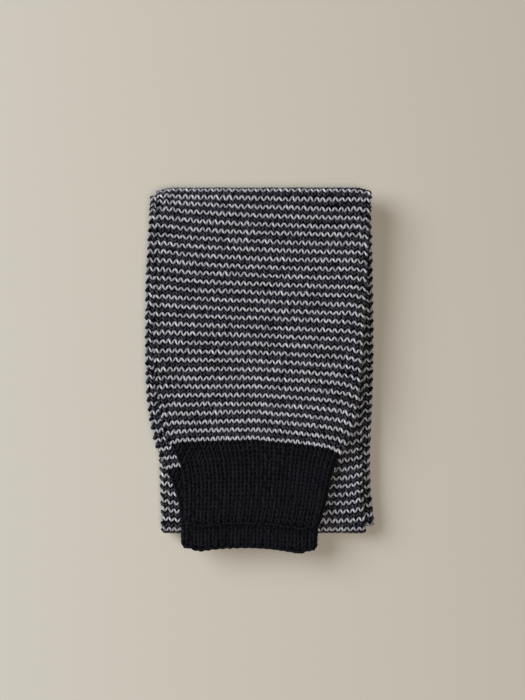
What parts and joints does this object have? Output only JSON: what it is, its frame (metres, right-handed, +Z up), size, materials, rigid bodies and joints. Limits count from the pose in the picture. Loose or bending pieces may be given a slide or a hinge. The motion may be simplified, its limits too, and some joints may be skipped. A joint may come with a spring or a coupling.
{
  "type": "folded knitted trousers",
  "caption": "Folded pair of small child's striped knitted pull-on trousers with dark ribbed ankle cuffs, stacked leg on leg and folded in three.",
  "frame": {"origin": "on the surface the folded trousers rest on, under the middle of the stack", "axes": "+X across the legs towards the seat's centre line, +Y along the legs from the cuffs towards the knee fold, +Z up"},
  "size_m": [0.1482, 0.2366, 0.0262],
  "materials": {
    "striped_knit": "one-row stripes of marled light grey and near-black navy wool",
    "navy_rib": "one by one rib in near-black navy wool",
    "navy_yarn": "matt spun wool",
    "elastic": "woven elastic, natural white",
    "label": "blank satin label"
  },
  "bodies": {
    "hips": {"left_hip": "striped_knit", "right_hip": "striped_knit", "back_seam": "navy_yarn", "front_seam": "navy_yarn", "waistband": "navy_rib", "waist_elastic": "elastic", "waist_seam": "navy_yarn", "care_label": "label"},
    "thighs": {"right_thigh": "striped_knit", "right_thigh_seam": "navy_yarn", "left_thigh": "striped_knit", "left_thigh_seam": "navy_yarn"},
    "right_lower_leg": {"right_shin": "striped_knit", "right_shin_seam": "navy_yarn", "right_cuff": "navy_rib"},
    "left_lower_leg": {"left_shin": "striped_knit", "left_shin_seam": "navy_yarn", "left_cuff": "navy_rib"}
  },
  "joints": [
    {"name": "seat_fold", "type": "hinge", "parent": "hips", "child": "thighs", "pos_m": [0, -0.1083, 0.0087], "axis": [1, 0, 0], "range_deg": [0, 180]},
    {"name": "right_knee_fold", "type": "hinge", "parent": "thighs", "child": "right_lower_leg", "pos_m": [0, 0.1183, 0.0175], "axis": [-1, 0, 0], "range_deg": [0, 180]},
    {"name": "left_knee_fold", "type": "hinge", "parent": "thighs", "child": "left_lower_leg", "pos_m": [0, 0.1183, 0.0175], "axis": [-1, 0, 0], "range_deg": [0, 180]}
  ],
  "couplings": [
    {"joint": "left_knee_fold", "follows": "right_knee_fold", "ratio": 1}
  ]
}
